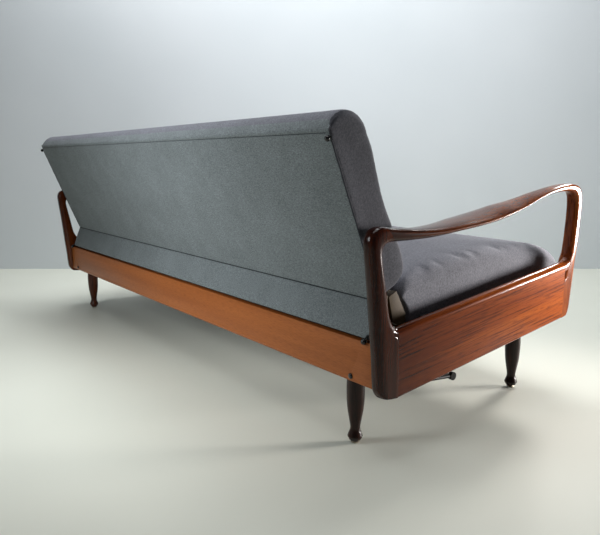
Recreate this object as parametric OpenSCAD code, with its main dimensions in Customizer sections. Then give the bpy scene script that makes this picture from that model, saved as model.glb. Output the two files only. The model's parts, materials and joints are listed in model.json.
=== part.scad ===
// Three-seat sofa bed with a pull-out seat, a back that lies down behind it and shaped show-wood arms.
// The row frame: X along the length, the front at -Y, the floor at Z = 0.

/* [Overall] */
// Length over the two arms
sofa_length = 2068; // [1850:1:2200]
// Gap between the upholstery and the inner face of each arm
side_gap = 21; // [17:1:25]
// Thickness of the posts and of the arm at its ends
arm_thick = 36; // [30:1:42]
// Thickness of the side panels
panel_thick = 28; // [22:1:30]
// Width of the paddle of the armrest at its widest
paddle_width = 80; // [60:1:90]

/* [Frame] */
// Top edge of the rear rail
rail_top = 274; // [262:1:280]
// Height of the rear rail
rail_height = 99; // [80:1:110]
// Thickness of the rear and front rails
rail_thick = 20; // [16:1:24]
// Outer face of the rear rail
rail_face_y = 322; // [316:1:328]
// Outer face of the front rail
front_face_y = -388; // [-392:1:-384]
// Top edge of the front rail
front_rail_top = 278; // [270:1:280]
// Underside of the front rail
front_rail_low = 236; // [228:1:240]
// Thickness of the wooden bearers under the seat
bearer_height = 30; // [24:1:34]
// Thickness of each cross bearer
cross_bearer_thick = 22; // [16:1:28]
// Distance from each end of the sofa to the middle of its outer cross bearer
cross_bearer_inset = 147; // [134:1:184]
// Width of each corner block, inward from the side panel
corner_block_width = 46; // [36:1:56]
// Distance from each end of the sofa to its rail bolt
bolt_inset = 110; // [90:1:130]
// Height of the rail bolts above the underside of the rear rail
bolt_rise = 11; // [9:0.5:14]

/* [Legs] */
// Distance from each end of the sofa to its leg axes
leg_inset = 147; // [134:1:174]
// Half the width of the steel plate over a leg
leg_plate_half = 26; // [24:1:30]
// Rear leg axis
rear_leg_y = 272; // [268:1:276]
// Front leg axis
front_leg_y = -351; // [-355:1:-347]
// Radius of a leg at its top
leg_top_r = 22; // [18:0.5:25]
// Radius of the neck above the foot
leg_neck_r = 12.5; // [10:0.5:15]
// Radius of the bulb of the foot
leg_bulb_r = 18; // [15:0.5:21]
// Radius of the metal glide under a leg
glide_r = 13; // [10:0.5:15]
// Height of the metal glide
glide_height = 5; // [3:0.5:8]
// Thickness of the steel plate over a leg
leg_plate_thick = 3; // [2:0.5:4]

/* [Fold] */
// Hinge axis behind the seat
pivot_y = 232; // [230:0.5:234]
// Height of the hinge axis
pivot_z = 330; // [328:0.5:332]
// Radius of the hinge pin
hinge_pin_r = 4; // [3:0.25:5]
// Radius of the boss round the hinge pin
hinge_boss_r = 12; // [10:0.5:12]
// Thickness of the steel hinge arm
hinge_arm_thick = 4; // [3:0.5:5]
// Running clearance in the bores, on the radius
bore_clear = 0.05; // [0.02:0.01:0.1]
// Gap left between parts that rest or run on each other
rest_gap = 0.3; // [0.2:0.1:0.5]

/* [Runners] */
// Radius of the rear rollers on the seat
rear_roller_r = 10; // [8:0.5:11]
// Radius of the front rollers on the frame
front_roller_r = 12; // [10:0.5:12]
// Width of a roller
roller_width = 8; // [6:0.5:9]
// Rear roller axle along the depth, with the seat pushed in
rear_roller_y = 150; // [140:1:155]
// Height of the rear roller axle
rear_roller_z = 302; // [300:1:303]
// Front roller axle along the depth
front_roller_y = -316; // [-317:1:-310]
// Radius of the roller axles
axle_r = 4; // [3:0.25:5]
// Thickness of the steel of the track and the side runner
steel_thick = 2; // [1.5:0.25:2.5]

/* [Seat] */
// Underside of the seat frame
seat_frame_low = 284; // [283:0.5:286]
// Height of the seat frame
seat_frame_height = 32; // [28:1:34]
// Width of the rails of the seat frame
seat_rail_width = 28; // [22:1:32]
// Rise of the seat cushion at the middle of its length
seat_crown = 12; // [0:1:18]
// Roundness of the seat cushion at its two ends
seat_end_round = 30; // [20:1:40]

/* [Back] */
// Lean of the back from upright
back_lean = 22.1; // [21:0.1:23]
// Fold line low on the rear face, along the depth
fold_y = 288.5; // [287:0.5:290]
// Height of the fold line
fold_z = 362; // [360:0.5:364]
// Length of the flat rear face from the fold to the upper seam
back_face = 384; // [374:1:392]
// Thickness of the padded fabric on the rear face
rear_cover_thick = 4; // [3:0.5:5]
// Thickness of the wooden back frame
back_frame_thick = 24; // [20:1:25]
// Height of the top and bottom rails of the back frame
back_rail_height = 40; // [30:1:50]
// Width of the uprights of the back frame
upright_width = 30; // [24:1:36]
// Forward swell of the back cushion at the middle of its length
back_crown = 4; // [0:1:8]
// Roundness of the back cushion at its two ends
back_end_round = 14; // [8:1:20]
// Radius of the lower ball studs
lower_stud_r = 7.5; // [6:0.25:8]
// Radius of the upper ball studs
upper_stud_r = 5.7; // [5:0.1:6.5]

/* [Small parts] */
// Radius of the bolt shanks in the rear rail
bolt_r = 3; // [2.5:0.25:4]
// Radius of the bolt heads
bolt_head_r = 6; // [5:0.5:8]
// Height of the bolt heads
bolt_head_height = 4; // [3:0.5:5]
// Distance from the side panel to the steel bar under each end
under_bar_gap = 28; // [24:1:32]
// Radius of the steel bar under each end
under_bar_r = 4; // [3:0.5:5]
// Radius of the round head at the front of that bar
under_bar_head_r = 10; // [8:0.5:12]
// Width of a webbing strap
strap_width = 50; // [40:1:60]
// Thickness of a webbing strap
strap_thick = 2.5; // [2:0.25:2.75]
// Number of straps across the seat and the back
strap_count = 12; // [8:1:14]

/* [Hidden] */
half_length = sofa_length / 2;
arm_inner = half_length - arm_thick;
panel_inner = half_length - 1 - panel_thick;
soft_half = arm_inner - side_gap;
back_plane = rear_cover_thick + back_frame_thick;
pad_plane = back_plane + strap_thick + 0.5;
seat_frame_top = seat_frame_low + seat_frame_height;
cushion_low = seat_frame_top + strap_thick + 0.5;
seat_frame_half = soft_half - 24;
back_frame_half = soft_half - 21;
rail_inner_y = rail_face_y - rail_thick;
rail_low = rail_top - rail_height;
seat_front_y = -425;
seat_rear_y = 203.5;
bearer_depth = 46;
rear_bearer_front = rail_inner_y - bearer_depth;
front_bearer_depth = 38;
front_bearer_back = front_face_y + rail_thick + front_bearer_depth;
front_bearer_height = 26;
leg_x = half_length - leg_inset;
cross_bearer_x = half_length - cross_bearer_inset;
// Four places spread evenly between -1 and 1
spread_four = [-1, -1 / 3, 1 / 3, 1];
// Distance from the end of a frame to the middle of its first strap
first_strap = 60;

// Place of strap i between the two ends of a frame
function strap_x(half, i) = (half - first_strap) * (2 * i / (strap_count - 1) - 1);

// A point of the back, from its distance in front of the rear face and its distance above the fold
function back_point(ahead, up) =
    [fold_y + up * sin(back_lean) - ahead * cos(back_lean),
     fold_z + up * cos(back_lean) + ahead * sin(back_lean)];

// The ball studs: the lower pair rests on the rear rail as a sofa, the upper pair as a bed
lower_stud = [rail_face_y - 2, rail_top + lower_stud_r + rest_gap];
upper_stud = back_point(-upper_stud_r - 0.1, back_face - 8);
stud_x = soft_half - 4;
stud_shank_r = 2.5;
stud_shank = 25;
stud_base_r = 4;
land_y = rail_face_y - 5;
ramp_slope = 0.255;
ramp_reach = 11;
land_z = rail_top - ramp_slope * (rail_face_y - land_y) + upper_stud_r * 1.035 + rest_gap;
pivot = [pivot_y, pivot_z];
stud_reach = norm(upper_stud - pivot);
stud_start = atan2(upper_stud[1] - pivot_z, upper_stud[0] - pivot_y);
stud_end = asin((land_z - pivot_z) / stud_reach);
fold_angle = stud_start - stud_end;
slide_travel = pivot_y + stud_reach * cos(stud_end) - land_y;
echo(fold_angle = fold_angle, slide_travel = slide_travel);
echo(fold_per_metre = fold_angle * PI / 180 / slide_travel * 1000);

// Points along a smooth curve through the given points
function curve(p, n) = concat(
    [for (i = [0 : len(p) - 2]) for (k = [0 : n - 1])
        curve_at(p[max(i - 1, 0)], p[i], p[i + 1], p[min(i + 2, len(p) - 1)], k / n)],
    [p[len(p) - 1]]);
function curve_at(a, b, c, d, t) =
    b + t * (c - a) / 2 + t * t * (2 * a - 5 * b + 4 * c - d) / 2 + t * t * t * (3 * b - a - 3 * c + d) / 2;

// Side of a superellipse, which rounds a section between a circle and a square
function bulge(v, e) = sign(v) * pow(abs(v), 2 / e);

// Arm loop from the foot of the rear post, over the armrest, to the foot of the front post.
// Each row is a point of the outer edge, the point across from it in the opening, and the width.
arm_loop = [
    [315.5, 162, 290, 157, 0], [331, 177, 290, 171, 0], [336.5, 200, 290, 200, 0],
    [342, 250, 290, 250, 0], [347.5, 300, 290, 299, 0], [348.5, 316, 293.5, 312.5, 0],
    [349.5, 326, 301, 319, 0], [350.8, 340, 309, 330, 0], [352, 354, 312.5, 351, 0],
    [356.6, 404, 321, 404, 0], [362, 450, 329, 442, 0], [366, 485, 334, 470, 0],
    [367, 508, 332, 486, 0], [358.5, 524.5, 325, 494, 0], [344, 531.5, 314, 498, 0],
    [325, 531.5, 300, 498.5, 0],
    [298, 527.5, 280, 498, 0.02], [262, 525, 252, 497.5, 0.06], [230, 523.4, 223, 497.5, 0.15],
    [186, 524.5, 190, 497, 0.34], [131, 528.5, 141, 499, 0.58], [73, 535.5, 79, 504.5, 0.8],
    [12, 542.5, 22, 509.5, 0.95], [-47, 551, -33, 516, 1], [-100, 560.5, -93, 527, 0.93],
    [-162, 569, -154, 546, 0.7], [-227, 584, -218, 567, 0.38], [-285, 596, -275, 579, 0.14],
    [-334, 602.5, -322, 583, 0.03], [-369, 603.5, -352, 583.5, 0],
    [-399, 598.5, -374, 580, 0], [-416, 584, -384.5, 570, 0], [-421, 563, -388.5, 552, 0],
    [-420, 531, -389.5, 524, 0], [-417, 482, -386, 474, 0], [-412, 432, -380, 425, 0],
    [-409.5, 412, -374, 407, 0], [-408, 398, -360, 396.5, 0], [-404, 350, -352, 350, 0],
    [-396, 296, -352, 296, 0], [-390, 262, -352, 253, 0], [-376, 246, -352, 239, 0]];
rear_post_last = 15;
front_post_first = 29;
section_points = 16;
section_square = 4;

// One section of the arm loop, on the left arm
function arm_ring(row) =
    let (wide = arm_thick + row[4] * (paddle_width - arm_thick))
    let (out = [row[0], row[1]])
    let (across = [row[2], row[3]])
    [for (k = [0 : section_points - 1])
        let (turn = 360 * (k + 0.5) / section_points)
        let (mid = (out + across) / 2 + (out - across) / 2 * bulge(cos(turn), section_square))
        [-half_length + wide / 2 + wide / 2 * bulge(sin(turn), section_square), mid[0], mid[1]]];

// Side panel edges: both run up to the front at the same slope
panel_rear = [290, 157];
panel_front = [-352, 239];
rim_rise = 154;
rim_step = 0.8;
panel_slope = atan2(panel_front[1] - panel_rear[1], panel_rear[0] - panel_front[0]);

// Seat cushion outline from the rear, over the top, to the front
seat_outline = [
    [198, cushion_low], [203.5, 326], [214, 345], [231, 374], [222, 389], [203, 402],
    [170, 410], [110, 419], [20, 428], [-90, 435], [-200, 439], [-290, 439], [-345, 432],
    [-388, 418], [-415, 400], [-430, 380], [-434, 356], [-430, 334], [-418, cushion_low]];
seat_mid = [-110, 372];
seat_stations = [0, 3, 9, 18, 30, 60, 140, 300, 500, 740];
// Share of the draw-in of an end that also shortens the section, over half its depth
seat_end_share = 0.35;
seat_half_depth = 320;
// Height above which an end is drawn down and the span of that, and the start and reach of the crown
seat_draw_from = 340;
seat_draw_span = 95;
seat_crown_from = 380;
seat_crown_reach = 300;

// Back cushion outline in front of the frame and over its top, as distance ahead and distance up
back_outline = [
    [pad_plane, 6], [54, 4], [76, 9], [95, 17], [104, 40], [107, 66], [104, 100], [101, 136],
    [98, 172], [97, 205], [100, 245], [103, 282], [105, 322], [104, 352], [100, 375],
    [90, 394], [72, 407], [50, 413], [30, 411], [14, 404], [3, 394], [0.5, back_face + rest_gap]];
// Depth of the stuffing ahead of the frame, and the rise of the roll over the upper seam
back_stuffing = 70;
back_roll_rise = 30;
back_stations = [0, 2, 6, 14, 40, 120, 300, 500, 740];

// Tail of the back below the fold, which carries the lower studs
tail_low_z = 281;
tail_outer = [319, tail_low_z + 2];
tail_cloth = 4.2;
tail_front_top = [264, 352];
tail_front_low = [298.5, tail_low_z];
tail_rear_low = [tail_outer[0] - tail_cloth, tail_low_z];
tail_board = [
    back_point(rear_cover_thick, 0), back_point(back_plane, 0), tail_front_top, tail_front_low,
    tail_rear_low];

// Rail behind the seat that carries the hinge, in section
hinge_rail_section = [[259, 368], [235, 378.5], [204, 322], [204, 296], [226, 298], [243, 308]];

$fn = 48;

// Shows its children on the left, or mirrored on the right
module on_side(side) {
    mirror([side > 0 ? 1 : 0, 0, 0]) children();
}

module both_sides() {
    for (side = [-1, 1]) on_side(side) children();
}

// A plate of constant thickness across X, drawn by its outline in depth and height
module side_plate(x, thick, outline) {
    translate([x, 0, 0]) rotate([90, 0, 90]) linear_extrude(height = thick) polygon(outline);
}

// A box between two corners
module block(low, high) {
    translate(low) cube(high - low);
}

// A rod along X
module x_rod(x, length, at, r) {
    translate([x, at[0], at[1]]) rotate([0, 90, 0]) cylinder(r = r, h = length);
}

// A closed skin over a row of rings with the same number of points
module skin(rings) {
    n = len(rings[0]);
    last = len(rings) - 1;
    points = [for (ring = rings) for (p = ring) p];
    sides = [for (i = [0 : last - 1]) for (j = [0 : n - 1]) for (half = [0, 1])
        half == 0 ? [i * n + j, (i + 1) * n + (j + 1) % n, i * n + (j + 1) % n]
                  : [i * n + j, (i + 1) * n + j, (i + 1) * n + (j + 1) % n]];
    polyhedron(points, concat(sides, [[for (j = [0 : n - 1]) j]],
        [[for (j = [n - 1 : -1 : 0]) last * n + j]]));
}

// Places its children in the leaning frame of the back: -Y ahead of the rear face, Z up along it
module in_back() {
    translate([0, fold_y, fold_z]) rotate([-back_lean, 0, 0]) children();
}

// A box in the leaning frame of the back
module back_block(x0, x1, ahead0, ahead1, up0, up1) {
    in_back() block([x0, -ahead1, up0], [x1, -ahead0, up1]);
}

module arm_part(side, first, last) {
    color("saddlebrown") on_side(side)
        skin([for (i = [first : last]) arm_ring(arm_loop[i])]);
}

module side_panel(side) {
    panel_x = -panel_inner - panel_thick;
    rim_r = panel_thick / 2 - rim_step;
    wall = [0, rim_rise - rim_r];
    overrun = 10;
    rim_start = panel_rear + wall + [overrun, -overrun * tan(panel_slope)];
    rim_run = norm(panel_front - panel_rear) + 4 * overrun;
    color("sienna") on_side(side) difference() {
        union() {
            side_plate(panel_x, panel_thick,
                [panel_rear, panel_front, panel_front + wall, panel_rear + wall]);
            intersection() {
                translate([panel_x + panel_thick / 2, rim_start[0], rim_start[1]])
                    rotate([90 - panel_slope, 0, 0]) cylinder(r = rim_r, h = rim_run);
                block([panel_x - 1, panel_front[0], panel_rear[1]],
                    [-panel_inner + 1, panel_rear[0], panel_front[1] + 2 * rim_rise]);
            }
        }
        x_rod(-panel_inner - axle_grip - 1, 2 * axle_grip, [front_roller_y, front_roller_z()],
            axle_r + bore_clear);
    }
}

function front_roller_z() = seat_frame_low - steel_thick - front_roller_r - rest_gap;

// The rail's top slopes inward near its ends, where the upper studs land
module rear_rail() {
    over = 5;
    inside = rail_inner_y - 1;
    outside = rail_face_y + 1;
    color("peru") difference() {
        block([-arm_inner, rail_inner_y, rail_low], [arm_inner, rail_face_y, rail_top]);
        both_sides() side_plate(-arm_inner - 1, arm_inner + 1 - stud_x + ramp_reach, [
            [outside, rail_top + ramp_slope], [inside, rail_top - ramp_slope * (rail_thick + 1)],
            [inside, rail_top + over], [outside, rail_top + over]]);
        bolt_holes();
    }
}

bolt_spots = [-1, 1] * (half_length - bolt_inset);
bolt_z = rail_low + bolt_rise;
bolt_grip = 22;

module bolt_holes() {
    for (x = bolt_spots) translate([x, rail_face_y + 1, bolt_z]) rotate([90, 0, 0])
        cylinder(r = bolt_r + bore_clear, h = rail_thick + bolt_grip + 4);
}

module front_rail() {
    color("sienna") block([-arm_inner, front_face_y, front_rail_low],
        [arm_inner, front_face_y + rail_thick, front_rail_top]);
}

module rear_bearer() {
    color("burlywood") difference() {
        block([-arm_inner, rear_bearer_front, rail_low], [arm_inner, rail_inner_y, rail_low + bearer_height]);
        bolt_holes();
    }
}

module front_bearer() {
    color("burlywood") block([-arm_inner, front_face_y + rail_thick, front_rail_low],
        [arm_inner, front_bearer_back, front_rail_low + front_bearer_height]);
}

// Each cross bearer runs level from the rear, then up to the front bearer
module cross_bearers() {
    knee_y = -150;
    knee_low = rail_low + 15;
    front_depth = 18;
    middle_depth = 24;
    for (x = spread_four * cross_bearer_x)
        color("burlywood") side_plate(x - cross_bearer_thick / 2, cross_bearer_thick, [
            [rear_bearer_front, rail_low + bearer_height], [knee_y, knee_low + middle_depth],
            [front_bearer_back, front_rail_low + front_depth], [front_bearer_back, front_rail_low],
            [knee_y, knee_low], [rear_bearer_front, rail_low + 4]]);
}

module corner_blocks() {
    inner = panel_inner - corner_block_width;
    block_length = 40;
    front_depth = 16;
    rise = 2;
    color("burlywood") both_sides() {
        block([-panel_inner, rear_bearer_front - block_length, rail_low + rise],
            [-inner, rear_bearer_front, rail_low + bearer_height]);
        block([-panel_inner, front_bearer_back, front_rail_low + rise],
            [-inner, front_bearer_back + block_length, front_rail_low + rise + front_depth]);
    }
}

// A turned leg of the given height: a swelling top, a long taper, a neck and a bulb above the glide
module leg(x, y, height) {
    shoulder = 136;
    swell = 110;
    taper = 80;
    ankle = 60;
    neck = 40;
    bulb_top = 27;
    bulb = 18;
    bulb_low = 10;
    shaft = curve([[leg_top_r * 0.94, height], [leg_top_r, shoulder], [leg_top_r * 0.965, swell],
        [leg_top_r * 0.85, taper], [leg_neck_r * 1.22, ankle], [leg_neck_r, neck],
        [leg_bulb_r * 0.84, bulb_top], [leg_bulb_r, bulb], [leg_bulb_r * 0.86, bulb_low],
        [leg_bulb_r * 0.66, glide_height]], 4);
    color("saddlebrown") translate([x, y, 0]) rotate_extrude()
        polygon(concat([[0, height]], shaft, [[0, glide_height]]));
}

rear_leg_height = rail_low - leg_plate_thick;
front_leg_height = front_rail_low - leg_plate_thick;

module leg_plates() {
    color("dimgray") both_sides() {
        block([-leg_x - leg_plate_half, rear_leg_y - leg_plate_half, rear_leg_height],
            [-leg_x + leg_plate_half, rear_leg_y + leg_plate_half, rail_low]);
        block([-leg_x - leg_plate_half, front_leg_y - leg_plate_half, front_leg_height],
            [-leg_x + leg_plate_half, front_bearer_back - 1, front_rail_low]);
    }
}

module leg_glides() {
    color("silver") for (y = [rear_leg_y, front_leg_y]) both_sides()
        translate([-leg_x, y, 0]) cylinder(r = glide_r, h = glide_height);
}

module rail_bolts() {
    color("black") for (x = bolt_spots) translate([x, rail_face_y, bolt_z]) {
        rotate([-90, 0, 0]) cylinder(r = bolt_head_r, h = bolt_head_height);
        rotate([90, 0, 0]) cylinder(r = bolt_r, h = rail_thick + bolt_grip);
    }
}

// Steel bar that hangs under each end of the frame, with a round head at its front
module under_bar(side) {
    bar_x = -panel_inner + under_bar_gap;
    // Depth and height of the two ends of the bar
    rear = [250, 160];
    front = [34, 140];
    run = norm(rear - front);
    head_width = 10;
    strap_half = 2;
    hanger_half = 8;
    rear_hanger_y = rear_bearer_front - 20;
    front_hanger_y = front[0] + 25;
    bracket_low = 213;
    bracket_top = 240;
    color("black") on_side(side) {
        translate([bar_x, rear[0], rear[1]]) rotate([90 + atan2(rear[1] - front[1], run), 0, 0])
            cylinder(r = under_bar_r, h = run);
        x_rod(bar_x - head_width / 2, head_width, front, under_bar_head_r);
        block([bar_x - strap_half, rear_hanger_y - hanger_half, rear[1] - 3],
            [bar_x + strap_half, rear_hanger_y + hanger_half, rail_low + 2]);
        block([bar_x - strap_half, front_hanger_y - hanger_half, front[1] - 1],
            [bar_x + strap_half, front_hanger_y + hanger_half, bracket_low + 3]);
        block([-panel_inner, front_hanger_y - hanger_half, bracket_low],
            [bar_x + strap_half, front_hanger_y + hanger_half, bracket_low + 3]);
        block([-panel_inner, front_hanger_y - hanger_half, bracket_low],
            [-panel_inner + 3, front_hanger_y + hanger_half, bracket_top]);
    }
}

track_front_y = rear_roller_y - slide_travel - rear_roller_r - rest_gap;
track_rear_y = rear_roller_y + rear_roller_r + rest_gap;
mouth_gap = 3.5;
track_mouth = soft_half + mouth_gap;

module track(side) {
    low = rear_roller_z - rear_roller_r - rest_gap;
    high = rear_roller_z + rear_roller_r + rest_gap;
    wall = 3;
    color("gray") on_side(side) difference() {
        block([-panel_inner, track_front_y - wall, low - steel_thick],
            [-track_mouth, track_rear_y + wall, high + steel_thick]);
        block([-panel_inner + steel_thick, track_front_y, low], [-track_mouth + 1, track_rear_y, high]);
    }
}

// Rollers run between the side panel and the upholstery
roller_gap = 6;
roller_x = -panel_inner + roller_gap;
roller_inner_x = roller_x + roller_width;
// Length of an axle held in the wood, and the washer on its free end
axle_grip = 7;
seat_axle_grip = 14.5;
axle_washer = 0.8;

module roller(side, y, z, r) {
    color("ivory") on_side(side) difference() {
        x_rod(roller_x, roller_width, [y, z], r);
        x_rod(roller_x - 1, roller_width + 2, [y, z], axle_r + bore_clear);
    }
}

module front_roller_axles() {
    at = [front_roller_y, front_roller_z()];
    color("silver") both_sides() {
        x_rod(-panel_inner - axle_grip, axle_grip + roller_gap + roller_width + 1, at, axle_r);
        x_rod(roller_inner_x + 1 - axle_washer, axle_washer, at, axle_r + 2);
    }
}

module rear_roller_axles() {
    start = roller_x - 1.5;
    color("silver") both_sides()
        x_rod(start, -seat_frame_half + seat_axle_grip - start, [rear_roller_y, rear_roller_z], axle_r);
}

module seat_end_rails() {
    color("burlywood") both_sides() difference() {
        block([-seat_frame_half, seat_front_y + seat_rail_width, seat_frame_low],
            [-seat_frame_half + seat_rail_width, seat_rear_y - seat_rail_width, seat_frame_top]);
        x_rod(-seat_frame_half - 1, seat_axle_grip + 2.5, [rear_roller_y, rear_roller_z],
            axle_r + bore_clear);
    }
}

module seat_cross_rail(y) {
    color("burlywood") block([-seat_frame_half, y, seat_frame_low],
        [seat_frame_half, y + seat_rail_width, seat_frame_top]);
}

// The raw wood rail behind the seat, slotted near its ends for the hinge arms
module hinge_rail() {
    rear = hinge_rail_section[0];
    high = hinge_rail_section[1];
    low = hinge_rail_section[2];
    slot_reach = 32;
    color("tan") difference() {
        side_plate(-soft_half + 2, 2 * soft_half - 4, hinge_rail_section);
        both_sides() {
            block([-hinge_arm_x() - arm_play, pivot_y - hinge_boss_r - 0.5, low[1] - slot_reach],
                [-hinge_arm_x() + hinge_arm_thick + arm_play, rear[0] + slot_reach, high[1] + slot_reach]);
            x_rod(-hinge_arm_x() - pin_end - 1, hinge_arm_thick + pin_length + 2, pivot,
                hinge_pin_r + bore_clear);
        }
    }
}

function hinge_arm_x() = back_frame_half + hinge_arm_thick;

// Play beside each hinge arm, and the length of its pin outside and inside the arm
arm_play = 0.6;
pin_end = 11;
pin_length = 30;

module hinge_pins() {
    color("silver") both_sides()
        x_rod(-hinge_arm_x() - pin_end, hinge_arm_thick + pin_length, pivot, hinge_pin_r);
}

module seat_webbing() {
    color("dimgray") for (i = [0 : strap_count - 1])
        translate([strap_x(seat_frame_half, i) - strap_width / 2, seat_front_y, seat_frame_top])
            cube([strap_width, seat_rear_y - seat_front_y, strap_thick]);
}

// How far the side runners reach over the front rollers
runner_overlap = 4;

module seat_side_runners() {
    run_front = seat_front_y + 20;
    run_end_gap = 8;
    run_lip = 16;
    color("gray") both_sides() {
        block([roller_inner_x - runner_overlap, run_front, seat_frame_low - steel_thick],
            [-seat_frame_half + seat_rail_width + steel_thick, seat_rear_y - run_end_gap, seat_frame_low]);
        block([-seat_frame_half + seat_rail_width, seat_front_y + seat_rail_width, seat_frame_low],
            [-seat_frame_half + seat_rail_width + steel_thick, seat_rear_y - seat_rail_width,
            seat_frame_low + run_lip]);
    }
}

// Fabric-covered pads round the seat frame
module seat_border() {
    pad_top = cushion_low - 0.5;
    axle_bore_run = 40;
    color("dimgray") both_sides() difference() {
        block([-soft_half + 2, seat_front_y, seat_frame_low + 0.5],
            [-seat_frame_half - 0.5, seat_rear_y - 4, pad_top]);
        x_rod(-soft_half, axle_bore_run, [rear_roller_y, rear_roller_z], axle_r + bore_clear);
    }
    color("dimgray") block([-seat_frame_half, seat_front_y - 6, seat_frame_low + 0.5],
        [seat_frame_half, seat_front_y - 0.5, pad_top]);
}

// Places of the rings of a cushion along X: close together where its two ends are rounded
function ring_places(half, steps) = concat(
    [for (s = steps) -half + s], [0], [for (i = [len(steps) - 1 : -1 : 0]) half - steps[i]]);

// How far a section is drawn in at a distance from the end
function draw_in(from_end, r) = from_end >= r ? 0 : r - sqrt(r * r - (r - from_end) * (r - from_end));

module seat_cushion() {
    outline = curve(seat_outline, 2);
    color("dimgray") skin([for (x = ring_places(soft_half - 1, seat_stations))
        let (d = draw_in(soft_half - 1 - abs(x), seat_end_round))
        let (swell = seat_crown * (1 - pow(x / soft_half, 2)))
        [for (p = outline)
            let (y = seat_mid[0] + (p[0] - seat_mid[0]) * (1 - d * seat_end_share / seat_half_depth))
            let (from_mid = p[0] - seat_mid[0])
            let (over = p[1] > seat_crown_from ? max(0, cos(90 * from_mid / seat_crown_reach)) : 0)
            let (z = p[1] > seat_draw_from ? p[1] - d * (p[1] - seat_draw_from) / seat_draw_span : p[1])
            [x, y, z + swell * over]]]);
}

module back_uprights() {
    half = upright_width / 2;
    for (x = spread_four * (back_frame_half - half))
        color("burlywood") back_block(x - half, x + half, rear_cover_thick, back_plane,
            back_rail_height, back_face - back_rail_height);
}

module back_cross_rail(up) {
    color("burlywood") back_block(-back_frame_half, back_frame_half, rear_cover_thick, back_plane,
        up, up + back_rail_height);
}

module back_tail_board() {
    color("burlywood") difference() {
        side_plate(-soft_half + 1, 2 * soft_half - 2, tail_board);
        both_sides() {
            block([-hinge_arm_x() - arm_play, pivot_y + 8, pivot_z + 8],
                [-hinge_arm_x() + hinge_arm_thick + arm_play, fold_y + 1, fold_z + 18]);
            stud_pocket();
        }
    }
}

module stud_pocket() {
    translate([-stud_x, lower_stud[0], lower_stud[1]]) {
        sphere(r = lower_stud_r + 0.2);
        rotate([45, 0, 0]) cylinder(r = stud_shank_r + bore_clear, h = stud_shank + 1);
    }
}

module back_webbing() {
    inset = 8;
    color("dimgray") for (i = [0 : strap_count - 1])
        let (x = strap_x(back_frame_half, i))
            back_block(x - strap_width / 2, x + strap_width / 2, back_plane, back_plane + strap_thick,
                inset, back_face - inset);
}

module back_cushion() {
    outline = concat([[pad_plane, back_face + rest_gap]], curve(back_outline, 2));
    color("dimgray") in_back() skin([for (x = ring_places(soft_half, back_stations))
        let (d = draw_in(soft_half - abs(x), back_end_round))
        let (swell = 1 + back_crown / back_stuffing * (1 - pow(x / soft_half, 2)))
        [for (p = outline)
            let (ahead = p[0] > pad_plane ? pad_plane + (p[0] - pad_plane) * swell : p[0])
            let (high = p[1] > back_face + 1 ? p[1] - d * (p[1] - back_face) / back_roll_rise : p[1])
            [x, -ahead + d * max(0, ahead - pad_plane) / back_stuffing, high]]]);
}

module back_rear_cover() {
    color("slategray") back_block(-soft_half, soft_half, 0, rear_cover_thick, 0, back_face);
}

module back_end_pads() {
    color("slategray") both_sides()
        back_block(-soft_half + 1, -hinge_arm_x() - 1, rear_cover_thick + 0.3, back_plane, 2, back_face);
}

// Fabric over the tail, from the fold line to the top of the rear rail
module back_tail_cover() {
    color("slategray") difference() {
        side_plate(-soft_half, 2 * soft_half, [[fold_y, fold_z], back_point(rear_cover_thick, 0),
            tail_rear_low, [tail_outer[0] - 1, tail_low_z], tail_outer]);
        both_sides() stud_pocket();
    }
}

// Hinge arm: its distance ahead of the rear face, the heights of its elbow and its top, and its end radius
arm_ahead = 16;
arm_elbow = 14;
arm_top = 110;
arm_end_r = 9;

module hinge_arm(side) {
    color("gray") on_side(side) difference() {
        translate([-hinge_arm_x(), 0, 0]) rotate([90, 0, 90]) linear_extrude(height = hinge_arm_thick) {
            hull() {
                translate(pivot) circle(r = hinge_boss_r);
                translate(back_point(arm_ahead, arm_elbow)) circle(r = arm_end_r);
            }
            hull() {
                translate(back_point(arm_ahead, arm_elbow)) circle(r = arm_end_r);
                translate(back_point(arm_ahead, arm_top)) circle(r = arm_end_r);
            }
        }
        x_rod(-hinge_arm_x() - 1, hinge_arm_thick + 2, pivot, hinge_pin_r + bore_clear);
    }
}

module lower_studs() {
    color("black") both_sides() translate([-stud_x, lower_stud[0], lower_stud[1]]) {
        sphere(r = lower_stud_r);
        rotate([45, 0, 0]) cylinder(r = stud_shank_r, h = stud_shank);
    }
}

module upper_studs() {
    color("black") both_sides() translate([-stud_x, upper_stud[0], upper_stud[1]]) {
        sphere(r = upper_stud_r);
        rotate([90 - back_lean, 0, 0]) cylinder(r = stud_base_r, h = upper_stud_r + 0.05);
    }
}

arm_part(-1, 0, rear_post_last);  // left_rear_post
arm_part(-1, rear_post_last, front_post_first);  // left_armrest
arm_part(-1, front_post_first, len(arm_loop) - 1);  // left_front_post
side_panel(-1);  // left_side_panel
arm_part(1, 0, rear_post_last);  // right_rear_post
arm_part(1, rear_post_last, front_post_first);  // right_armrest
arm_part(1, front_post_first, len(arm_loop) - 1);  // right_front_post
side_panel(1);  // right_side_panel
rear_rail();
front_rail();
rear_bearer();
front_bearer();
cross_bearers();
corner_blocks();
leg(-leg_x, rear_leg_y, rear_leg_height);  // left_rear_leg
leg(leg_x, rear_leg_y, rear_leg_height);  // right_rear_leg
leg(-leg_x, front_leg_y, front_leg_height);  // left_front_leg
leg(leg_x, front_leg_y, front_leg_height);  // right_front_leg
leg_plates();
leg_glides();
rail_bolts();
under_bar(-1);  // left_under_bar
under_bar(1);  // right_under_bar
track(-1);  // left_track
track(1);  // right_track
front_roller_axles();
roller(-1, front_roller_y, front_roller_z(), front_roller_r);  // left_front_roller
roller(1, front_roller_y, front_roller_z(), front_roller_r);  // right_front_roller
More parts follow.
